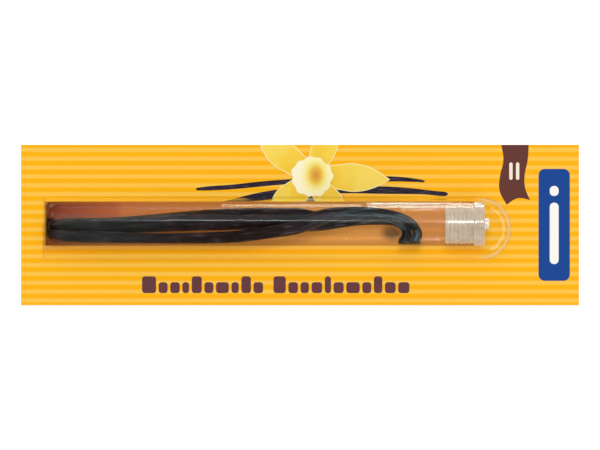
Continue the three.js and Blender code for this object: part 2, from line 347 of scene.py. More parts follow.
def ink_plate(low, high, corner, layer):
    """A round-cornered rectangle of ink between two corners in mm, on the front ply."""
    middle = [(high[i] + low[i]) / 2 * MM for i in (0, 1)]
    place = (*middle, FRONT_FACE + layer * INK)
    plate = start_from(bpy.ops.mesh.primitive_plane_add, size=1, location=place)
    plate.scale = ((high[0] - low[0]) * MM, (high[1] - low[1]) * MM, 1)
    settle(plate)
    open_up(plate)
    bpy.ops.mesh.bevel(offset=corner * MM, segments=6, affect="VERTICES")
    done_editing()
    thicken(plate)
    return plate


def curve_to_print(curve, layer, squash=1.0):
    """Turns a curve into a mesh that lies in one layer of ink."""
    bpy.ops.object.convert(target="MESH")
    curve = bpy.context.object
    curve.scale = (1, 1, squash)
    curve.location = (0, 0, FRONT_FACE + (layer + 0.5) * INK)
    settle(curve)
    close_up(curve)
    return curve


def ink_stroke(points, half_width, layer):
    """A flattened brush-like stroke through points of x, y and share of the half width, in mm."""
    stroke = start_from(bpy.ops.curve.primitive_nurbs_path_add, location=(0, 0, 0))
    spline = stroke.data.splines[0]
    spline.points.add(len(points) - len(spline.points))
    for point, (x, y, share) in zip(spline.points, points):
        point.co = (x * MM, y * MM, 0, 1)
        point.radius = share
    spline.order_u = 4
    spline.use_endpoint_u = True
    stroke.data.dimensions = "3D"
    stroke.data.resolution_u = 12
    stroke.data.bevel_depth = half_width * MM
    stroke.data.bevel_resolution = 5
    stroke.data.use_fill_caps = True
    return curve_to_print(stroke, layer, INK / (2 * half_width * MM))


def ink_shape(points, layer, spread=0.0):
    """A flat shape with a smooth outline through points of x and y in mm, sharp where marked."""
    shape = start_from(bpy.ops.curve.primitive_bezier_circle_add, location=(0, 0, 0))
    outline = shape.data.splines[0]
    outline.bezier_points.add(len(points) - len(outline.bezier_points))
    for point, (x, y, *sharp) in zip(outline.bezier_points, points):
        point.co = (x * MM, y * MM, 0)
        point.handle_left_type = "VECTOR" if sharp else "AUTO"
        point.handle_right_type = point.handle_left_type
    shape.data.dimensions = "2D"
    shape.data.fill_mode = "BOTH"
    shape.data.resolution_u = 16
    shape.data.extrude = INK / 2
    shape.data.offset = spread * MM
    return curve_to_print(shape, layer)


def plain_ink(name, colour):
    """A single flat ink on the board."""
    material, shader, in_mm = start_material(name, *INK_FINISH)
    print_on_board(material, shader, in_mm, linear(colour)[:3])
    return material


# The two printed pods behind the flower: blue-black, streaked lengthwise.
printed_pod, shader, in_mm = start_material("blue_black_printed_pod", *INK_FINISH)
along = add(printed_pod, "Mapping", {"Vector": in_mm, "Scale": (0.22, 2.6, 1)})
streaks = add(printed_pod, "TexNoise", {"Vector": along, "Scale": 1, "Detail": 4})
pod_inks = [(0.35, "#1f1c2b"), (0.5, "#2d2638"), (0.62, "#463a4a"), (0.74, "#6a5a62")]
print_on_board(printed_pod, shader, in_mm, add(printed_pod, "ValToRGB", {0: streaks}, stops=pod_inks))

POD_STROKES = {
    "pod_upper": (
        0.95,
        [(-37.2, 12.8, 0.4), (-34, 13.1, 0.9), (-26, 13.4, 0.8), (-18, 14.3, 1), (-8, 15.3, 0.9),
         (6, 16.2, 0.9), (20, 16.6, 1), (32, 16.6, 1.05), (40, 16.3, 0.75), (44.6, 15.6, 0.4)],
    ),
    "pod_lower": (
        1.45,
        [(-28.5, 7.8, 0.15), (-24, 8.6, 0.5), (-19, 9.4, 0.85), (-13, 10.4, 1.1), (-6, 11.6, 1),
         (6, 12.3, 0.8), (18, 12.6, 0.75), (28, 12.6, 1), (38, 12.3, 0.8), (45, 11.8, 0.55),
         (49, 11.3, 0.55), (51.3, 11.15, 0.6), (52.5, 11.1, 0.5), (53.0, 11.08, 0.1)],
    ),
}
for name, (half_width, points) in POD_STROKES.items():
    finish_print(lay_on_card(ink_stroke(points, half_width, layer=0.5)), name, printed_pod)

# The flower: five pointed petals with a pale rim, round a frilled trumpet with an orange throat.
FLOWER_X, FLOWER_Y = 4.3, 17.3  # mm
PETALS = [
    (0, 27.5, 4.7, -1.0),
    (66, 22, 4.2, 1.0),
    (142, 24, 4.7, 0.6),
    (226, 21, 4.8, -1.2),
    (304, 20, 4.2, 1.2),
]  # direction in degrees, length, half width and the tip's sideways bow, in mm
PETAL_HALF = [(0.05, 0.3), (0.4, 0.95), (0.6, 1.0), (0.83, 0.6)]  # shares of length and half width
PETAL_RIM = 0.28  # mm
PETAL_FOOT_LIGHT = (1.3, 1.34, 1.0)  # painted light: the petals are made brighter where they reach the back ply, against the shade under the blister


def petal_outline(direction, length, half_width, bow):
    """A pointed oval from the flower's heart, swept towards its bow."""
    turn = math.radians(direction)
    right = [(reach, -side) for reach, side in PETAL_HALF]
    outline = []
    for reach, side, *sharp in right + [(1.0, 0.0, True)] + PETAL_HALF[::-1]:
        along = reach * length
        across = side * half_width + bow * reach * reach
        x = FLOWER_X + along * math.cos(turn) - across * math.sin(turn)
        y = FLOWER_Y + along * math.sin(turn) + across * math.cos(turn)
        outline.append((x, y, *sharp))
    return outline


def rays_from(material, in_mm, heart, stretch, count, detail):
    """The distance from a point in mm, and a noise that changes only round that point."""
    away = add(material, "VectorMath", {0: in_mm, 1: heart}, operation="SUBTRACT")
    across = add(material, "SeparateXYZ", {0: away}).outputs
    turn = add(material, "Math", {0: across["Y"], 1: across["X"]}, operation="ARCTAN2")
    turn = add(material, "Math", {0: turn, 1: count}, operation="MULTIPLY")
    rays = add(material, "TexNoise", {"W": turn, "Detail": detail}, noise_dimensions="1D")
    reach = add(material, "VectorMath", {0: away, 1: stretch}, operation="MULTIPLY")
    reach = add(material, "VectorMath", {0: reach}, operation="LENGTH").outputs["Value"]
    return reach, rays


# Yellow ink, deeper towards the heart, with veins that run out from it and cloudy blotches.
petal_ink, shader, in_mm = start_material("yellow_printed_petal", *INK_FINISH)
reach, veins = rays_from(petal_ink, in_mm, (FLOWER_X, FLOWER_Y, 0), (1, 1, 0), 9, 3)
tone = add(petal_ink, "MapRange", {0: reach, 1: 6, 2: 27})
blotch = add(petal_ink, "TexNoise", {"Vector": in_mm, "Scale": 0.22, "Detail": 2})
tone = add(petal_ink, "Math", {0: veins, 1: 0.3, 2: tone}, operation="MULTIPLY_ADD")
tone = add(petal_ink, "Math", {0: blotch, 1: 0.7, 2: tone}, operation="MULTIPLY_ADD")
petal_stops = [(0.3, "#f2b92c"), (0.5, "#f6c838"), (0.75, "#f9d044"), (1.0, "#fad95c")]
yellow = add(petal_ink, "ValToRGB", {0: tone}, stops=petal_stops)
height = add(petal_ink, "SeparateXYZ", {0: in_mm}).outputs["Z"]
on_front = add(petal_ink, "MapRange", {0: height, 1: 0.8, 2: 1.1})  # mm, between the plies' faces
# Painted light on the petals' feet inside the window.
painted_light_colour = add(petal_ink, "VectorMath", {0: yellow, 1: PETAL_FOOT_LIGHT}, operation="MULTIPLY")
yellow = add(petal_ink, "Mix", {0: on_front, 6: painted_light_colour, 7: yellow}, data_type="RGBA").outputs[2]
print_on_board(petal_ink, shader, in_mm, yellow)
rim_ink = plain_ink("cream_printed_rim", "#fdeeb0")

for number, petal_sizes in enumerate(PETALS):
    layer = 2 + 2 * number
    rim = ink_shape(petal_outline(*petal_sizes), layer, PETAL_RIM)
    finish_print(lay_on_card(rim), f"petal_rim_{number + 1}", rim_ink)
    petal = ink_shape(petal_outline(*petal_sizes), layer + 1)
    finish_print(lay_on_card(petal), f"petal_{number + 1}", petal_ink)

# The trumpet: cream at its frilled edge and orange in its throat, with folds between them.
TRUMPET_RADIUS = 7.3  # mm
TRUMPET_LAYER = 13  # above the petals' ten layers
FRILLS, FRILL_DEPTH = 11, 0.035  # how many go round, and how deep in shares of the radius
LOBES, LOBE_DEPTH = 5, 0.03
THROAT = (FLOWER_X + 1.4, FLOWER_Y + 0.6, 0)  # mm
trumpet_ink, shader, in_mm = start_material("cream_printed_trumpet", *INK_FINISH)
reach, folds = rays_from(trumpet_ink, in_mm, THROAT, (1.25, 0.95, 0), 5, 2)
tone = add(trumpet_ink, "MapRange", {0: reach, 1: 0, 2: 8.5})
folded = add(trumpet_ink, "MapRange", {0: folds, 3: -0.1, 4: 0.16})
tone = add(trumpet_ink, "Math", {0: tone, 1: folded}, operation="ADD")
trumpet_stops = [
    (0.0, "#dd8a34"), (0.2, "#e5a83e"), (0.36, "#efc448"), (0.46, "#f8df72"), (0.66, "#fdf0a8"),
    (0.9, "#fff6cf"),
]
cream = add(trumpet_ink, "ValToRGB", {0: tone}, stops=trumpet_stops)
print_on_board(trumpet_ink, shader, in_mm, cream)

trumpet = start_from(
    bpy.ops.mesh.primitive_circle_add,
    vertices=132,
    radius=TRUMPET_RADIUS * MM,
    fill_type="NGON",
    location=(FLOWER_X * MM, FLOWER_Y * MM, FRONT_FACE + TRUMPET_LAYER * INK),
)
for v in trumpet.data.vertices:
    around = math.atan2(v.co.y, v.co.x)
    frill = 1 + FRILL_DEPTH * math.cos(FRILLS * around) + LOBE_DEPTH * math.sin(LOBES * around + 0.6)
    v.co.x *= frill
    v.co.y *= frill * 0.97
settle(trumpet)
thicken(trumpet)
finish_print(trumpet, "trumpet", trumpet_ink)

# The dark olive shade between the two lower petals.
shade = ink_shape([(0.4, 6.5, True), (4.4, 12.4, True), (8.6, 6.5, True)], layer=1)
finish_print(lay_on_card(shade), "shade", plain_ink("olive_printed_shade", "#6a5614"))

# The ribbon hanging from the card's top edge, with a swallow-tailed end.
RIBBON = [
    (72.0, 29.5, True), (72.9, 23.3), (71.7, 17.5), (71.5, 12.5), (74.0, 7.3, True), (78.1, 9.6),
    (82.4, 9.0, True), (80.7, 13.3), (80.5, 17.6), (81.6, 23.3), (82.0, 29.5, True),
]
ribbon = ink_shape(RIBBON, layer=0.5)
cut(ribbon, CARD_EDGE, keep_above=False)
finish_print(ribbon, "ribbon", plain_ink("brown_printed_ribbon", "#693a32"))

# Two cream bars on the ribbon, and the blue panel at the right with its plain white bars. Each
# plate has its low and high corner, its corner radius and its layer.
PLATES = [
    ("ribbon_bars", "cream_printed_bars", "#f6ead4",
     [((75.0, 16.2), (76.2, 22.4), 0.55, 2), ((77.4, 16.2), (78.6, 22.4), 0.55, 2)]),
    ("panel", "blue_printed_panel", "#0f4596", [((85.5, -20.0), (96.7, 20.1), 2.2, 0.5)]),
    ("panel_bars", "white_printed_bars", "#f7f6f2",
     [((89.5, -14.0), (92.7, 8.0), 1.5, 2), ((89.5, 10.4), (92.7, 14.0), 1.5, 2)]),
]
for name, ink_name, colour, plates in PLATES:
    plates = join_pieces([ink_plate(*sizes) for sizes in plates])
    finish_print(plates, name, plain_ink(ink_name, colour))

# The title's place: a row of plain rounded brown blocks, some taller, in two runs.
TITLE_FOOT = -24.4  # mm
TITLE_LOW, TITLE_TALL = 3.9, 6.0  # mm
TITLE_GAP = 0.95  # mm
TITLE_RUNS = [
    (-56.6, [5.0, 3.2, 3.4, 2.4, 3.6, 3.2, 4.6, 2.6, 3.4, 3.4]),
    (-9.5, [4.4, 3.4, 3.0, 3.8, 2.2, 3.6, 4.8, 3.2, 3.0, 3.8, 4.0]),
]  # where each run starts and the widths of its blocks
title = []
for start, widths in TITLE_RUNS:
    for number, width in enumerate(widths):
        top = TITLE_FOOT + (TITLE_TALL if number % 4 == 0 else TITLE_LOW)
        title.append(ink_plate((start, TITLE_FOOT), (start + width, top), 1.0, layer=0.5))
        start += width + TITLE_GAP
finish_print(join_pieces(title), "title", plain_ink("brown_printed_title", "#6b3c40"))


# ------------------------------------------------------------
# Blister. One sheet of clear PET, drawn over a mould: a flange trapped between the plies, leaning
# walls, a wide shoulder, a square left end and a round right one. It is lofted through plan outlines,
# because its corners open out towards the top, and Solidify gives it the sheet's thickness.
sheet_low, sheet_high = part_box("blister")
SHEET = 0.3 * MM
FLANGE = 4 * MM
WALL_DRAFT = 0.06
SHOULDER_RADIUS = 3.8 * MM
FOOT_RADIUS = 0.1 * MM
CORNER_AT_FOOT = 1 * MM
CORNER_AT_TOP = 3.2 * MM
FLANGE_CORNER = 3 * MM
FOOT_SPREAD = 0.25 * MM  # how far the foot is drawn out towards the window's cut edge
TOP_LIP = 0.4 * MM  # the flat top's outermost strip, which ends the shoulder's shading
bubble_half = (sheet_high.y - sheet_low.y) / 2 - FLANGE
bubble_y = (sheet_high.y + sheet_low.y) / 2
bubble_left = sheet_low.x + FLANGE
bubble_round_x = sheet_high.x - FLANGE - bubble_half
flange_top = sheet_low.z + SHEET


def arc(centre_x, centre_y, radius, start, end, steps):
    turns = [math.radians(start + (end - start) * i / steps) for i in range(steps + 1)]
    return [(centre_x + radius * math.cos(t), centre_y + radius * math.sin(t)) for t in turns]


def bubble_plan(inset, corner):
    """The bubble's outline, set in from its foot and turning anticlockwise."""
    half = bubble_half - inset
    corner_x = bubble_left + inset + corner
    return (
        arc(bubble_round_x, bubble_y, half, -90, 90, 72)
        + arc(corner_x, bubble_y + half - corner, corner, 90, 180, 10)
        + arc(corner_x, bubble_y - half + corner, corner, 180, 270, 10)
    )


def work_in(piece, kind, **settings):
    """Adds a modifier to the active piece with its settings, and applies it."""
    bpy.ops.object.modifier_add(type=kind)
    modifier = piece.modifiers[-1]
    for name, value in settings.items():
        setattr(modifier, name, value)
    bpy.ops.object.modifier_apply(modifier=modifier.name)


shoulder_z = sheet_high.z - SHOULDER_RADIUS
wall_top_inset = WALL_DRAFT * (shoulder_z - FRONT_FACE)
foot = arc(-FOOT_SPREAD - FOOT_RADIUS, flange_top + FOOT_RADIUS, FOOT_RADIUS, -90, 0, 5)
shoulder = arc(wall_top_inset + SHOULDER_RADIUS, shoulder_z, SHOULDER_RADIUS, 180, 90, 14)
levels = [(-FLANGE, flange_top, FLANGE_CORNER)]
for inset, height in foot + shoulder:
    rise = max(0, (height - FRONT_FACE) / (sheet_high.z - FRONT_FACE))
    levels.append((inset, height, CORNER_AT_FOOT + (CORNER_AT_TOP - CORNER_AT_FOOT) * rise))
levels.append((inset + TOP_LIP, sheet_high.z, CORNER_AT_TOP))
skin_points = [(x, y, z) for inset, z, corner in levels for x, y in bubble_plan(inset, corner)]
sides = len(bubble_plan(0, CORNER_AT_FOOT))
skin_faces = []
for here in range(0, (len(levels) - 1) * sides, sides):
    for i in range(sides):
        j = (i + 1) % sides
        skin_faces.append((here + i, here + j, here + sides + j, here + sides + i))
skin_faces.append([(len(levels) - 1) * sides + i for i in range(sides)])
skin = bpy.data.meshes.new("blister_sheet")
skin.from_pydata(skin_points, [], skin_faces)
blister = bpy.data.objects.new("blister_sheet", skin)
bpy.context.collection.objects.link(blister)
open_up(blister)
bpy.ops.mesh.remove_doubles(threshold=1e-6)
done_editing()
work_in(blister, "SOLIDIFY", thickness=SHEET, offset=-1, use_even_offset=True)
bpy.ops.object.shade_smooth_by_angle(angle=math.radians(35))

EDGE_MIRROR = 0.25  # what a clear wall mirrors more when it is seen edge on
WAVE_DEPTH = 0.008 * MM  # the low waves in a clear wall, which break up what it mirrors
SCUFFED = 0.08  # what a scuffed wall still mirrors of that
HAZE, HAZE_SHARE = "#fffbe0", 0.26  # the whitening of stretched sheet


def mirror_share(material, square_on, edge_on=EDGE_MIRROR):
    """How much a clear plastic's face mirrors: little square on, more the more it is slanted."""
    slant = add(material, "LayerWeight", {"Blend": 0.5}).outputs["Facing"]
    steep = add(material, "Math", {0: slant, 1: 5}, operation="POWER")
    return add(material, "Math", {0: steep, 1: edge_on, 2: square_on}, operation="MULTIPLY_ADD")


def show(material, surface):
    """Makes a shader what the material shows."""
    output = material.node_tree.nodes["Material Output"]
    material.node_tree.links.new(surface.outputs[0], output.inputs["Surface"])


def clear_film(name, mirror, edge_mirror, wave_size, edge_tint, dull_below=None, milky_from=None):
    """A thin clear wall: it shows what is behind it unbent, and mirrors more the more it is slanted.

    mirror is what each of its two faces mirrors square on, and edge_mirror what they add edge on.
    Its waves are wave_size long, in mm. Below the height dull_below, in mm, the wall is scuffed and
    mirrors little. Right of milky_from, in mm, the steep walls have been stretched most and have
    gone faintly milky.
    """
    material, shader, in_mm = start_material(name, 0.1, Metallic=1.0, Base_Color=linear("#ffffff"))
    waves = add(material, "TexNoise", {"Vector": in_mm, "Scale": 1 / wave_size, "Detail": 1})
    add_relief(material, shader, waves, WAVE_DEPTH)
    slant = add(material, "LayerWeight", {"Blend": 0.5}).outputs["Facing"]
    path = add(material, "LightPath").outputs
    lamp_ways = {0: path["Is Shadow Ray"], 1: path["Is Diffuse Ray"]}
    from_lamp = add(material, "Math", lamp_ways, operation="MAXIMUM")
    kept = add(material, "Math", {0: 1.0, 1: from_lamp}, operation="SUBTRACT")
    mirrored = {0: mirror_share(material, mirror, edge_mirror), 1: kept}
    mirrored = add(material, "Math", mirrored, operation="MULTIPLY")
    if dull_below is not None:
        height = add(material, "SeparateXYZ", {0: in_mm}).outputs["Z"]
        clean = {0: height, 1: dull_below - 1, 2: dull_below + 1, 3: SCUFFED, 4: 1.0}
        clean = add(material, "MapRange", clean)
        mirrored = add(material, "Math", {0: mirrored, 1: clean}, operation="MULTIPLY")
    edge = add(material, "Math", {0: slant, 1: 3}, operation="POWER")
    edge = add(material, "Math", {0: edge, 1: kept}, operation="MULTIPLY")
    tint = {0: edge, 6: linear("#ffffff"), 7: linear(edge_tint)}
    tint = add(material, "Mix", tint, data_type="RGBA").outputs[2]
    body = add(material, "BsdfTransparent", {0: tint})
    if milky_from is not None:
        x = add(material, "SeparateXYZ", {0: in_mm}).outputs["X"]
        stretched = {0: x, 1: milky_from, 2: milky_from + 6}
        stretched = add(material, "MapRange", stretched, interpolation_type="SMOOTHSTEP")
        walls = add(material, "MapRange", {0: slant, 1: 0.7, 2: 0.93, 4: HAZE_SHARE})
        milky = add(material, "Math", {0: stretched, 1: walls}, operation="MULTIPLY")
        haze = add(material, "BsdfDiffuse", {0: linear(HAZE)})
        body = add(material, "MixShader", {0: milky, 1: body, 2: haze})
    show(material, add(material, "MixShader", {0: mirrored, 1: body, 2: shader}))
    return material


clear_sheet = clear_film("vacuum_formed_clear_pet", 0.015, 0.4, 9, "#fcfbf9", milky_from=62)
finish_piece(blister, "blister_sheet", clear_sheet)
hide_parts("blister")


# ------------------------------------------------------------
# Tube. Injection-moulded clear polystyrene, closed at the left with a rounded edge and open at the
# mouth. It is a cylinder with its mouth face removed, its closed rim bevelled and its wall added.
tube_low, tube_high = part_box("tube")
TUBE_WALL = 0.5 * MM
TUBE_EDGE_RADIUS = 3 * MM
EDGE_HOLD = 0.4 * MM  # how near a bend the flat part is held flat
NEAR = 0.01 * MM
tube_middle = (tube_low + tube_high) / 2
tube_radius = (tube_high.y - tube_low.y) / 2


def at_closed_end(part):
    return all(v.co.x < tube_low.x + NEAR for v in part.verts)


tube = start_from(
    bpy.ops.mesh.primitive_cylinder_add,
    vertices=144,
    radius=tube_radius,
    depth=tube_high.x - tube_low.x,
    location=tube_middle,
    rotation=(0, math.pi / 2, 0),
)
settle(tube)
open_up(tube)
pick(tube, "faces", lambda face: face.calc_center_median().x > tube_high.x - MM)
bpy.ops.mesh.delete(type="FACE")
pick(tube, "edges", at_closed_end)
bpy.ops.mesh.bevel(offset=TUBE_EDGE_RADIUS, segments=10, affect="EDGES")
for x in (tube_low.x + TUBE_EDGE_RADIUS + EDGE_HOLD, tube_high.x - EDGE_HOLD):
    bpy.ops.mesh.select_all(action="SELECT")
    bpy.ops.mesh.bisect(plane_co=(x, 0, 0), plane_no=(1, 0, 0), threshold=1e-7)
pick(tube, "faces", at_closed_end)
bpy.ops.mesh.inset(thickness=EDGE_HOLD)
done_editing()
work_in(tube, "SOLIDIFY", thickness=TUBE_WALL, offset=-1)
bpy.ops.object.shade_smooth_by_angle(angle=math.radians(30))
clear_tube = clear_film(
    "moulded_clear_polystyrene", 0.017, EDGE_MIRROR, 14, "#e6e2da", dull_below=7.5
)
finish_piece(tube, "tube_wall", clear_tube)
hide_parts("tube")


# ------------------------------------------------------------
# Stopper. Injection-moulded low-density polyethylene, milky clear: a hollow plug with sealing fins,
# a grooved head as wide as the tube, and the moulding nub. One disc is extruded and scaled along
# the tube's axis through the stopper's profile, from the nub round to the inside of the plug.
stopper_low, stopper_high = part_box("stopper")
NUB_LENGTH = 1.7 * MM
NUB_RADIUS = 2.1 * MM
NUB_BEVEL = 0.25 * MM
NUB_FILLET = 0.2 * MM
HEAD_LENGTH = 3.7 * MM
HEAD_GROOVES = 5
GROOVE_DEPTH = 0.12 * MM
HEAD_EDGE = 0.3 * MM
HEAD_WALL = 1.4 * MM
PLUG_RADIUS = 7.0 * MM
PLUG_BEVEL = 0.15 * MM
PLUG_HOLLOW = 5.6 * MM
HOLLOW_BEVEL = 0.8 * MM
FIN_RADIUS = 7.42 * MM
FIN_COUNT = 6
FIN_THICKNESS = 0.6 * MM
FIN_PITCH = 1.5 * MM
head_radius = (stopper_high.y - stopper_low.y) / 2
head_end = stopper_high.x - NUB_LENGTH
head_start = head_end - HEAD_LENGTH
plug_end = stopper_low.x
groove_pitch = (HEAD_LENGTH - 2 * HEAD_EDGE) / HEAD_GROOVES

profile = [
    (stopper_high.x - NUB_BEVEL, NUB_RADIUS),
    (head_end + NUB_FILLET, NUB_RADIUS),
    (head_end, NUB_RADIUS + NUB_FILLET),
    (head_end, head_radius - HEAD_EDGE),
    (head_end - HEAD_EDGE, head_radius),
]
for groove in range(HEAD_GROOVES):
    x = head_end - HEAD_EDGE - groove * groove_pitch
    profile.append((x - 0.6 * groove_pitch, head_radius))
    profile.append((x - 0.8 * groove_pitch, head_radius - GROOVE_DEPTH))
    profile.append((x - groove_pitch, head_radius))
profile += [(head_start, head_radius - HEAD_EDGE), (head_start, PLUG_RADIUS)]
for fin in reversed(range(FIN_COUNT)):
    x = plug_end + FIN_THICKNESS + fin * FIN_PITCH
    profile.append((x + FIN_THICKNESS, PLUG_RADIUS))
    profile.append((x + 0.7 * FIN_THICKNESS, FIN_RADIUS))
    profile.append((x + 0.3 * FIN_THICKNESS, FIN_RADIUS))
    profile.append((x, PLUG_RADIUS))
profile += [
    (plug_end, PLUG_RADIUS - PLUG_BEVEL),
    (plug_end, PLUG_HOLLOW),
    (head_end - HEAD_WALL - HOLLOW_BEVEL, PLUG_HOLLOW),
    (head_end - HEAD_WALL, PLUG_HOLLOW - HOLLOW_BEVEL),
]

at_x, at_radius = stopper_high.x, NUB_RADIUS - NUB_BEVEL
stopper = start_from(
    bpy.ops.mesh.primitive_circle_add,
    vertices=96,
    radius=at_radius,
    fill_type="NGON",
    location=(at_x, tube_middle.y, tube_middle.z),
    rotation=(0, -math.pi / 2, 0),
)
settle(stopper)
open_up(stopper)
for x, radius in profile:
    bpy.ops.mesh.extrude_region_move(TRANSFORM_OT_translate={"value": (x - at_x, 0, 0)})
    growth = radius / at_radius
    bpy.ops.transform.resize(value=(1, growth, growth))
    at_x, at_radius = x, radius
bpy.ops.mesh.select_all(action="SELECT")
bpy.ops.mesh.normals_make_consistent(inside=False)
done_editing()
bpy.ops.object.shade_smooth_by_angle(angle=math.radians(40))

# Milky polyethylene: cloudy off-white that lets much light through square on and little edge on.
# The nub is solid, so it is dense, and the moulded skin mirrors softly.
DENSE_SQUARE_ON, DENSE_EDGE_ON, DENSE_NUB = 0.37, 0.76, 0.7  # shares of what is behind that it hides
SHADOW_SHARE = 0.4  # how dense it is for the lamps' light
MILKY_MIRROR = 0.07
milky, shader, in_mm = start_material("moulded_milky_polyethylene", 0.3, IOR=1.51)
cloud = add(milky, "TexNoise", {"Vector": in_mm, "Scale": 0.5, "Detail": 3})
milk = add(milky, "ValToRGB", {0: cloud}, stops=[(0.35, "#e2d8c6"), (0.65, "#f8f0e0")])
milky.node_tree.links.new(milk.outputs[0], shader.inputs["Base Color"])
slant = add(milky, "LayerWeight", {"Blend": 0.5}).outputs["Facing"]
dense = add(milky, "MapRange", {0: slant, 3: DENSE_SQUARE_ON, 4: DENSE_EDGE_ON})
stopper_x = add(milky, "SeparateXYZ", {0: in_mm}).outputs["X"]
solid_nub = {0: stopper_x, 1: head_end / MM - 0.1, 2: head_end / MM + 0.1, 4: DENSE_NUB}
solid_nub = add(milky, "MapRange", solid_nub)
dense = add(milky, "Math", {0: dense, 1: solid_nub}, operation="ADD")
to_lamp = add(milky, "LightPath").outputs["Is Shadow Ray"]
lets_light = add(milky, "MapRange", {0: to_lamp, 3: 1.0, 4: SHADOW_SHARE})
dense = add(milky, "Math", {0: dense, 1: lets_light}, operation="MULTIPLY")
clear_part = add(milky, "BsdfTransparent", {0: linear("#f8f3ea")})
body = add(milky, "MixShader", {0: dense, 1: clear_part, 2: shader})
gloss = {"Metallic": 1.0, "Roughness": 0.15, "Base Color": linear("#ffffff")}
gloss = add(milky, "BsdfPrincipled", gloss)
show(milky, add(milky, "MixShader", {0: mirror_share(milky, MILKY_MIRROR), 1: body, 2: gloss}))
finish_piece(stopper, "stopper_plug", milky)
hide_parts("stopper")


# ------------------------------------------------------------
# Vanilla pods. Cured, nearly black seed pods with an oily skin that has shrunk into lengthwise
# wrinkles. Each starts as a copy of its solid, is remeshed fine and smoothed, and then gets its
# wrinkles and pinches pressed in along the pod's own length.
POD_VOXEL = 0.22 * MM
WRINKLE_DEPTH = 0.2  # mm
WRINKLE_WIDTH = 0.22  # share of the noise round a wrinkle's line
WRINKLES_ROUND, WRINKLES_ALONG = 2.4, 0.06  # how fast they change round the pod, and per mm along it
FINE_WRINKLES, FINENESS = 0.35, 2.3  # how strong the finer wrinkles are, and how much finer
PINCH_DEPTH = 0.08  # mm
PINCHES_ALONG = 0.7  # per mm
PLUMP = 0.14  # mm, gives back what smoothing and wrinkles take
STEM_END = 5.0  # mm of the hook's end that thickens where the stem was cut
STEM_SWELL = 0.4  # mm
POD_ROOM = tube_radius - TUBE_WALL - 0.08 * MM  # the pods press flat against the tube's inside
POD_STOPS = [(0.55, "#14080a"), (0.75, "#1e0f12"), (0.9, "#332024"), (1.05, "#544345")]
TIP_SHEEN_STOPS = [(0.55, "#151a1b"), (0.8, "#202626"), (1.05, "#353d3d")]
HOOK_SHEEN_STOPS = [(0.4, "#030405"), (0.5, "#080b0c"), (0.56, "#1a2023"), (0.66, "#5a6970")]
# painted shade in the wrinkles' grooves
CREASE_SHADE = "#120909"
SKIN_RELIEF = 0.34 * MM  # the fine lines and ridges that the mesh doesn't carry
PAINTED_SHEEN = 0.85  # how much of the brown the painted grey sheen hides
TIP_PAINTED_SHEEN, TIP_ENDS, HOOK_PAINTED_SHEEN = (-38, -62), (-88.5, -84), (8, 22)  # mm, where each starts and is full


def pod_rings(mesh):
    """The pod's cross rings, from its narrow end to its hook."""
    shape = bmesh.new()
    shape.from_mesh(mesh)
    bmesh.ops.remove_doubles(shape, verts=shape.verts, dist=1e-6)
    most = max(len(v.link_edges) for v in shape.verts)
    poles = [v for v in shape.verts if len(v.link_edges) == most]
    start = min(poles, key=lambda v: v.co.x)
    seen = {start}
    ring = [start]
    rings = []
    while ring:
        ring = list({e.other_vert(v) for v in ring for e in v.link_edges} - seen)
        seen.update(ring)
        if len(ring) == most:
            rings.append(np.array([v.co for v in ring]))
    shape.free()
    return rings


def press_wrinkles(piece, rings, seed):
    """Moves the skin in and out along its normals and keeps where each point lies on the pod."""
    middles = np.array([ring.mean(0) for ring in rings])
    along = np.gradient(middles, axis=0)
    along /= np.linalg.norm(along, axis=1)[:, None]
    across = np.cross((0, 0, 1), along)
    across /= np.linalg.norm(across, axis=1)[:, None]
    over = np.cross(along, across)
    steps = np.linalg.norm(np.diff(middles, axis=0), axis=1)
    lengths = np.concatenate([[0], np.cumsum(steps)])
    wide = np.array([abs((r - m) @ a).max() for r, m, a in zip(rings, middles, across)])
    thick = np.array([abs((r - m) @ o).max() for r, m, o in zip(rings, middles, over)])

    vertices = piece.data.vertices
    points = np.array([v.co for v in vertices])
    nearest = np.array([np.argmin(((middles - p) ** 2).sum(1)) for p in points])
    offset = points - middles[nearest]
    length = (lengths[nearest] + (offset * along[nearest]).sum(1)) / MM
    side = (offset * across[nearest]).sum(1) / wide[nearest]
    top = (offset * over[nearest]).sum(1) / thick[nearest]
    girth = np.maximum(np.hypot(side, top), 1e-6)
    side, top = side / girth, top / girth

    normals = np.array([v.normal for v in vertices])
    place = np.zeros((len(points), 3), np.float32)
    crease = np.zeros(len(points), np.float32)
    for i in range(len(points)):
        round_x, round_y = WRINKLES_ROUND * side[i], WRINKLES_ROUND * top[i]
        at = Vector((round_x, round_y, WRINKLES_ALONG * length[i] + seed))
        groove = abs(noise.noise(at)) + FINE_WRINKLES * abs(noise.noise(at * FINENESS))
        deep = max(0.0, 1 - groove / WRINKLE_WIDTH)
        pinch = noise.noise(Vector((side[i], top[i], PINCHES_ALONG * length[i] + seed)))
        stem = min(1.0, max(0.0, 1 - (lengths[-1] / MM - length[i]) / STEM_END))
        rise = PLUMP - WRINKLE_DEPTH * deep + PINCH_DEPTH * min(0, pinch)
        points[i] += normals[i] * (rise + STEM_SWELL * math.sqrt(stem)) * MM
        place[i] = (side[i], top[i], length[i])
        crease[i] = deep
    from_axis = points[:, 1:] - np.array(tube_middle)[1:]
    far = np.linalg.norm(from_axis, axis=1)
    points[:, 1:] -= from_axis * np.maximum(0, 1 - POD_ROOM / far)[:, None]
    vertices.foreach_set("co", points.astype(np.float32).ravel())
    spot = piece.data.attributes.new("pod_place", "FLOAT_VECTOR", "POINT")
    spot.data.foreach_set("vector", place.ravel())
    depth = piece.data.attributes.new("pod_crease", "FLOAT", "POINT")
    depth.data.foreach_set("value", crease)
    piece.data.update()


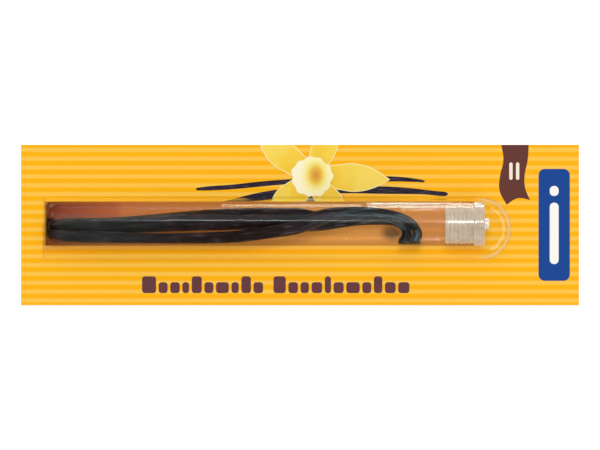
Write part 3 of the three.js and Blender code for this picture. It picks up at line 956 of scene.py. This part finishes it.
# Oily cured skin: near black with brown lines that run along the pod, and a half-gloss that the lines
# break up. A painted grey sheen, a haze of reflection, covers the tips, a painted bluer sheen lies on the
# ridges of the hooks, and the wrinkles' grooves get painted shade.
pod_skin, shader, in_mm = start_material("cured_vanilla_pod_skin", 0.38, 0.55)
links = pod_skin.node_tree.links
pod_place = add(pod_skin, "Attribute", attribute_name="pod_place").outputs["Vector"]
fine_run = add(pod_skin, "Mapping", {"Vector": pod_place, "Scale": (4.2, 4.2, 0.14)})
lines = add(pod_skin, "TexNoise", {"Vector": fine_run, "Scale": 1, "Detail": 5})
broad_run = add(pod_skin, "Mapping", {"Vector": pod_place, "Scale": (1.7, 1.7, 0.09)})
ridges = add(pod_skin, "TexNoise", {"Vector": broad_run, "Scale": 1, "Detail": 3})
patches = add(pod_skin, "TexNoise", {"Vector": in_mm, "Scale": 0.16, "Detail": 2})
tone = add(pod_skin, "Math", {0: patches, 1: 0.6, 2: lines}, operation="MULTIPLY_ADD")
skin_colour = add(pod_skin, "ValToRGB", {0: tone}, stops=POD_STOPS).outputs[0]
# Painted sheen: a grey haze of reflection on the tips and a bluer sheen on the hooks' ridges.
pod_x = add(pod_skin, "SeparateXYZ", {0: in_mm}).outputs["X"]
at_tips = add(pod_skin, "MapRange", {0: pod_x, 1: TIP_PAINTED_SHEEN[0], 2: TIP_PAINTED_SHEEN[1], 4: PAINTED_SHEEN})
tip_ends = add(pod_skin, "MapRange", {0: pod_x, 1: TIP_ENDS[0], 2: TIP_ENDS[1]})
at_tips = add(pod_skin, "Math", {0: at_tips, 1: tip_ends}, operation="MULTIPLY")
at_hooks = add(pod_skin, "MapRange", {0: pod_x, 1: HOOK_PAINTED_SHEEN[0], 2: HOOK_PAINTED_SHEEN[1], 4: PAINTED_SHEEN})
for share, pattern, stops in ((at_tips, tone, TIP_SHEEN_STOPS), (at_hooks, ridges, HOOK_SHEEN_STOPS)):
    painted_sheen = add(pod_skin, "ValToRGB", {0: pattern}, stops=stops)
    skin_colour = {0: share, 6: skin_colour, 7: painted_sheen}
    skin_colour = add(pod_skin, "Mix", skin_colour, data_type="RGBA").outputs[2]
# Painted shade: the grooves darken by how deep they are.
in_crease = add(pod_skin, "Attribute", attribute_name="pod_crease").outputs["Fac"]
crease_shaded = {0: in_crease, 6: skin_colour, 7: linear(CREASE_SHADE)}
crease_shaded = add(pod_skin, "Mix", crease_shaded, data_type="RGBA")
links.new(crease_shaded.outputs[2], shader.inputs["Base Color"])
oily = add(pod_skin, "MapRange", {0: lines, 3: 0.22, 4: 0.48})
links.new(oily.outputs[0], shader.inputs["Roughness"])
relief = add(pod_skin, "Math", {0: ridges, 1: 0.8, 2: lines}, operation="MULTIPLY_ADD")
add_relief(pod_skin, shader, relief, SKIN_RELIEF)

pods = []
for seed, node in enumerate(("pod_broad", "pod_slim")):
    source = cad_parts[node]
    rings = pod_rings(source.data)
    pod = bpy.data.objects.new(f"{node}_skin", source.data.copy())
    bpy.context.collection.objects.link(pod)
    open_up(pod)
    bpy.ops.mesh.remove_doubles(threshold=1e-6)
    done_editing()
    work_in(pod, "REMESH", mode="VOXEL", voxel_size=POD_VOXEL)
    work_in(pod, "SMOOTH", factor=0.5, iterations=6)
    press_wrinkles(pod, rings, 20.0 * seed)
    bpy.ops.object.shade_smooth()
    finish_piece(pod, f"{node}_skin", pod_skin)
    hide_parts(node)
    pods.append(pod)


# ------------------------------------------------------------
# Studio. A white sweep under even light, a soft sun lamp that only shades, and the lamps, cloth and
# ring that the clear plastics and the pods mirror.
VIEW_WIDTH = 215.04 * MM  # the width of the card's plane that the camera sees
CAMERA_HEIGHT = 5.0
SENSOR_WIDTH = 36  # mm
SKY_LIGHT, SKY_SEEN = 0.825, 1.0  # the sky's strength as light, and as a backdrop
FLOOR_GAP = 0.05 * MM  # keeps the floor apart from the card's back face
scene = bpy.context.scene
scene.view_settings.view_transform = "Standard"
scene.cycles.transparent_max_bounces = 24
world = bpy.data.worlds.new("studio_white")
world.use_nodes = True
sky = world.node_tree.nodes["Background"]
sky.inputs["Color"].default_value = linear("#ffffff")
sky_level = {0: add(world, "LightPath").outputs["Is Camera Ray"], 3: SKY_LIGHT, 4: SKY_SEEN}
sky_level = add(world, "MapRange", sky_level)
world.node_tree.links.new(sky_level.outputs[0], sky.inputs["Strength"])
world.cycles_visibility.glossy = False
scene.world = world

sweep, *_ = start_material(
    "matt_white_studio_sweep",
    0.9,
    Base_Color=linear("#f8f8f8"),
    Emission_Color=linear("#ffffff"),
    Emission_Strength=0.3,
)
floor = start_from(bpy.ops.mesh.primitive_plane_add, size=40, location=(0, 0, -FLOOR_GAP))
floor.name = "studio_floor"
floor.data.materials.append(sweep)
floor.visible_glossy = False

bpy.ops.object.light_add(type="SUN", rotation=(-math.radians(20), 0, 0))
sun = bpy.context.object
sun.data.energy = 0.7
sun.data.angle = math.radians(16)
sun.visible_glossy = False


def mirror_lamp(name, place, aim, size, radiance, colour, only, turn=0):
    """A lamp that only the given pieces mirror. Sizes are in metres, and the turn in degrees."""
    bpy.ops.object.light_add(type="AREA", location=place)
    lamp = bpy.context.object
    lamp.name = name
    back = Vector(place) - Vector(aim)
    lamp.rotation_euler = back.to_track_quat("Z", "Y").to_euler()
    lamp.rotation_euler.rotate_axis("Z", math.radians(turn))
    lamp.data.shape = "RECTANGLE"
    lamp.data.size, lamp.data.size_y = size
    lamp.data.color = linear(colour)[:3]
    lamp.data.energy = radiance * math.pi * size[0] * size[1]
    lamp.visible_camera = False
    lamp.visible_diffuse = False
    lit = bpy.data.collections.new(name + "_mirrors")
    for piece in only:
        lit.objects.link(piece)
    lamp.light_linking.receiver_collection = lit


# Each lamp's name, place, aim, size, radiance and colour, the pieces that mirror it, and its turn.
WHITE = "#ffffff"
CLEAR = [blister, tube, stopper]
TUBE_STRIP = ((0.071, 0.18, 0.98), (0.071, 0, 0), (0.018, 0.22))
HEAD_LAMP = ((0.0655, 0.026, 0.0085), (0.0655, 0, 0.0085), (0.006, 0.005))
BACK_MIDDLE = ((-0.003, 0.026, 0.0044), (-0.003, 0, 0.0044), (0.05, 0.0065))
BACK_TUBE = ((0.0445, 0.055, 0.0232), (0.0445, 0, 0.0232), (0.015, 0.005))
LOW_FRONT = ((0.0475, -0.055, 0.0108), (0.0475, 0, 0.0108), (0.0085, 0.004))
PODS_SHEEN = ((0.027, -0.003, 0.045), (0.027, 0.002, 0.01), (0.02, 0.002))
LOW_BACK = []
for side, x, length, colour, radiance in (
    ("left", 0.0379, 0.027, "#dcfff0", 26),
    ("right", 0.0587, 0.0146, "#fff8ea", 17),
):
    for piece, y, z, height in ((tube, 0.026, 0.009, 0.005), (blister, 0.055, 0.0205, 0.022)):
        name = f"low_back_{side}_{piece.name}"
        LOW_BACK.append((name, (x, y, z), (x, 0, z), (length, height), radiance, colour, [piece]))
LAMPS = [
    ("strip_overhead", (-0.025, 0.3, 0.954), (-0.025, 0, 0), (0.109, 0.07), 9, "#e8f6ff", CLEAR, -28),
    ("strip_past_hooks", (0.0545, 0.3, 0.954), (0.0545, 0, 0), (0.016, 0.07), 3, WHITE, CLEAR),
    ("strip_over_tube_wall", *TUBE_STRIP, 11, WHITE, [tube]),
    ("strip_over_stopper_plug", *TUBE_STRIP, 40, WHITE, [stopper]),
    ("soft_back", (-0.02, 0.588, 0.809), (-0.02, 0, 0), (0.4, 0.54), 0.7, "#f0f8ff", CLEAR),
    ("low_back_middle", *BACK_MIDDLE, 12, "#e8ffe0", [tube]),
    *LOW_BACK,
    ("back_tube", *BACK_TUBE, 15, "#f0fff4", [tube]),
    ("low_front", *LOW_FRONT, 12, WHITE, [tube]),
    ("pods_back", (-0.11, 0.5, 0.35), (-0.11, 0, 0.008), (0.2, 0.08), 2.0, "#fff0ea", pods),
    ("pods_sheen", *PODS_SHEEN, 70, "#cfefff", pods),
    ("low_back_stopper_head", *HEAD_LAMP, 14, WHITE, [stopper]),
    # Two cards, mirrored in the flat top when the pack is seen from beside one of its corners.
    ("corner_card_back_left", (-0.64, 0.64, 0.42), (0, 0, 0.01), (0.5, 0.3), 2.5, WHITE, [blister, tube]),
    ("corner_card_front_right", (0.68, -0.68, 0.26), (0, 0, 0.01), (0.5, 0.3), 2.5, WHITE, [blister, tube]),
]
for lamp in LAMPS:
    mirror_lamp(*lamp)


def glow(name, strength, stops=()):
    """A material that only shines, by a strength or by stops of object X in mm."""
    material = bpy.data.materials.new(name)
    material.use_nodes = True
    shine = add(material, "Emission", {"Strength": strength})
    if stops:
        x = add(material, "SeparateXYZ", {0: add(material, "TexCoord").outputs["Object"]})
        low, high = stops[0][0], stops[-1][0]
        share = add(material, "MapRange", {0: x, 1: low * MM, 2: high * MM})
        greys = [((at - low) / (high - low), colour) for at, colour in stops]
        level = add(material, "ValToRGB", {0: share}, stops=greys)
        material.node_tree.links.new(level.outputs[0], shine.inputs["Color"])
    show(material, shine)
    return material


def mirror_only(piece, name, material):
    """Makes a shining piece that only glossy surfaces mirror, as part of the studio."""
    piece.name = name
    piece.data.materials.clear()
    piece.data.materials.append(material)
    for rays in ("camera", "diffuse", "shadow", "transmission"):
        setattr(piece, "visible_" + rays, False)


# A dim cloth overhead, lit at its ends, veils the pack's ends.
CLOTH_STOPS = [
    (-150, WHITE), (-80, WHITE), (-60, "#000000"), (70, "#000000"), (95, WHITE), (150, WHITE)
]  # mm
cloth = start_from(bpy.ops.mesh.primitive_plane_add, size=1, location=(0, 0, 1))
cloth.scale = (0.3, 0.03, 1)
settle(cloth)
mirror_only(cloth, "studio_cloth", glow("dim_overhead_cloth", 0.5, CLOTH_STOPS))

# Part of a high ring past the stopper's end lights the blister's round shoulder.
RING_RADIUS, RING_HEIGHT, RING_MIDDLE = 0.42, 0.32, 0.235
ring = start_from(
    bpy.ops.mesh.primitive_cylinder_add,
    vertices=96,
    radius=RING_RADIUS,
    depth=RING_HEIGHT,
    end_fill_type="NOTHING",
    location=(bubble_round_x, bubble_y, RING_MIDDLE),
)
settle(ring)
open_up(ring)
ring_start = bubble_round_x + 0.45 * RING_RADIUS
pick(ring, "faces", lambda face: face.calc_center_median().x < ring_start)
bpy.ops.mesh.delete(type="FACE")
done_editing()
mirror_only(ring, "studio_ring_high", glow("studio_ring_high_light", 3.8))

bpy.ops.object.camera_add(location=(0, 0, CAMERA_HEIGHT))
camera = bpy.context.object
camera.data.sensor_width = SENSOR_WIDTH
camera.data.lens = SENSOR_WIDTH * (CAMERA_HEIGHT - FRONT_FACE) / VIEW_WIDTH
camera.data.clip_end = 100
scene.camera = camera
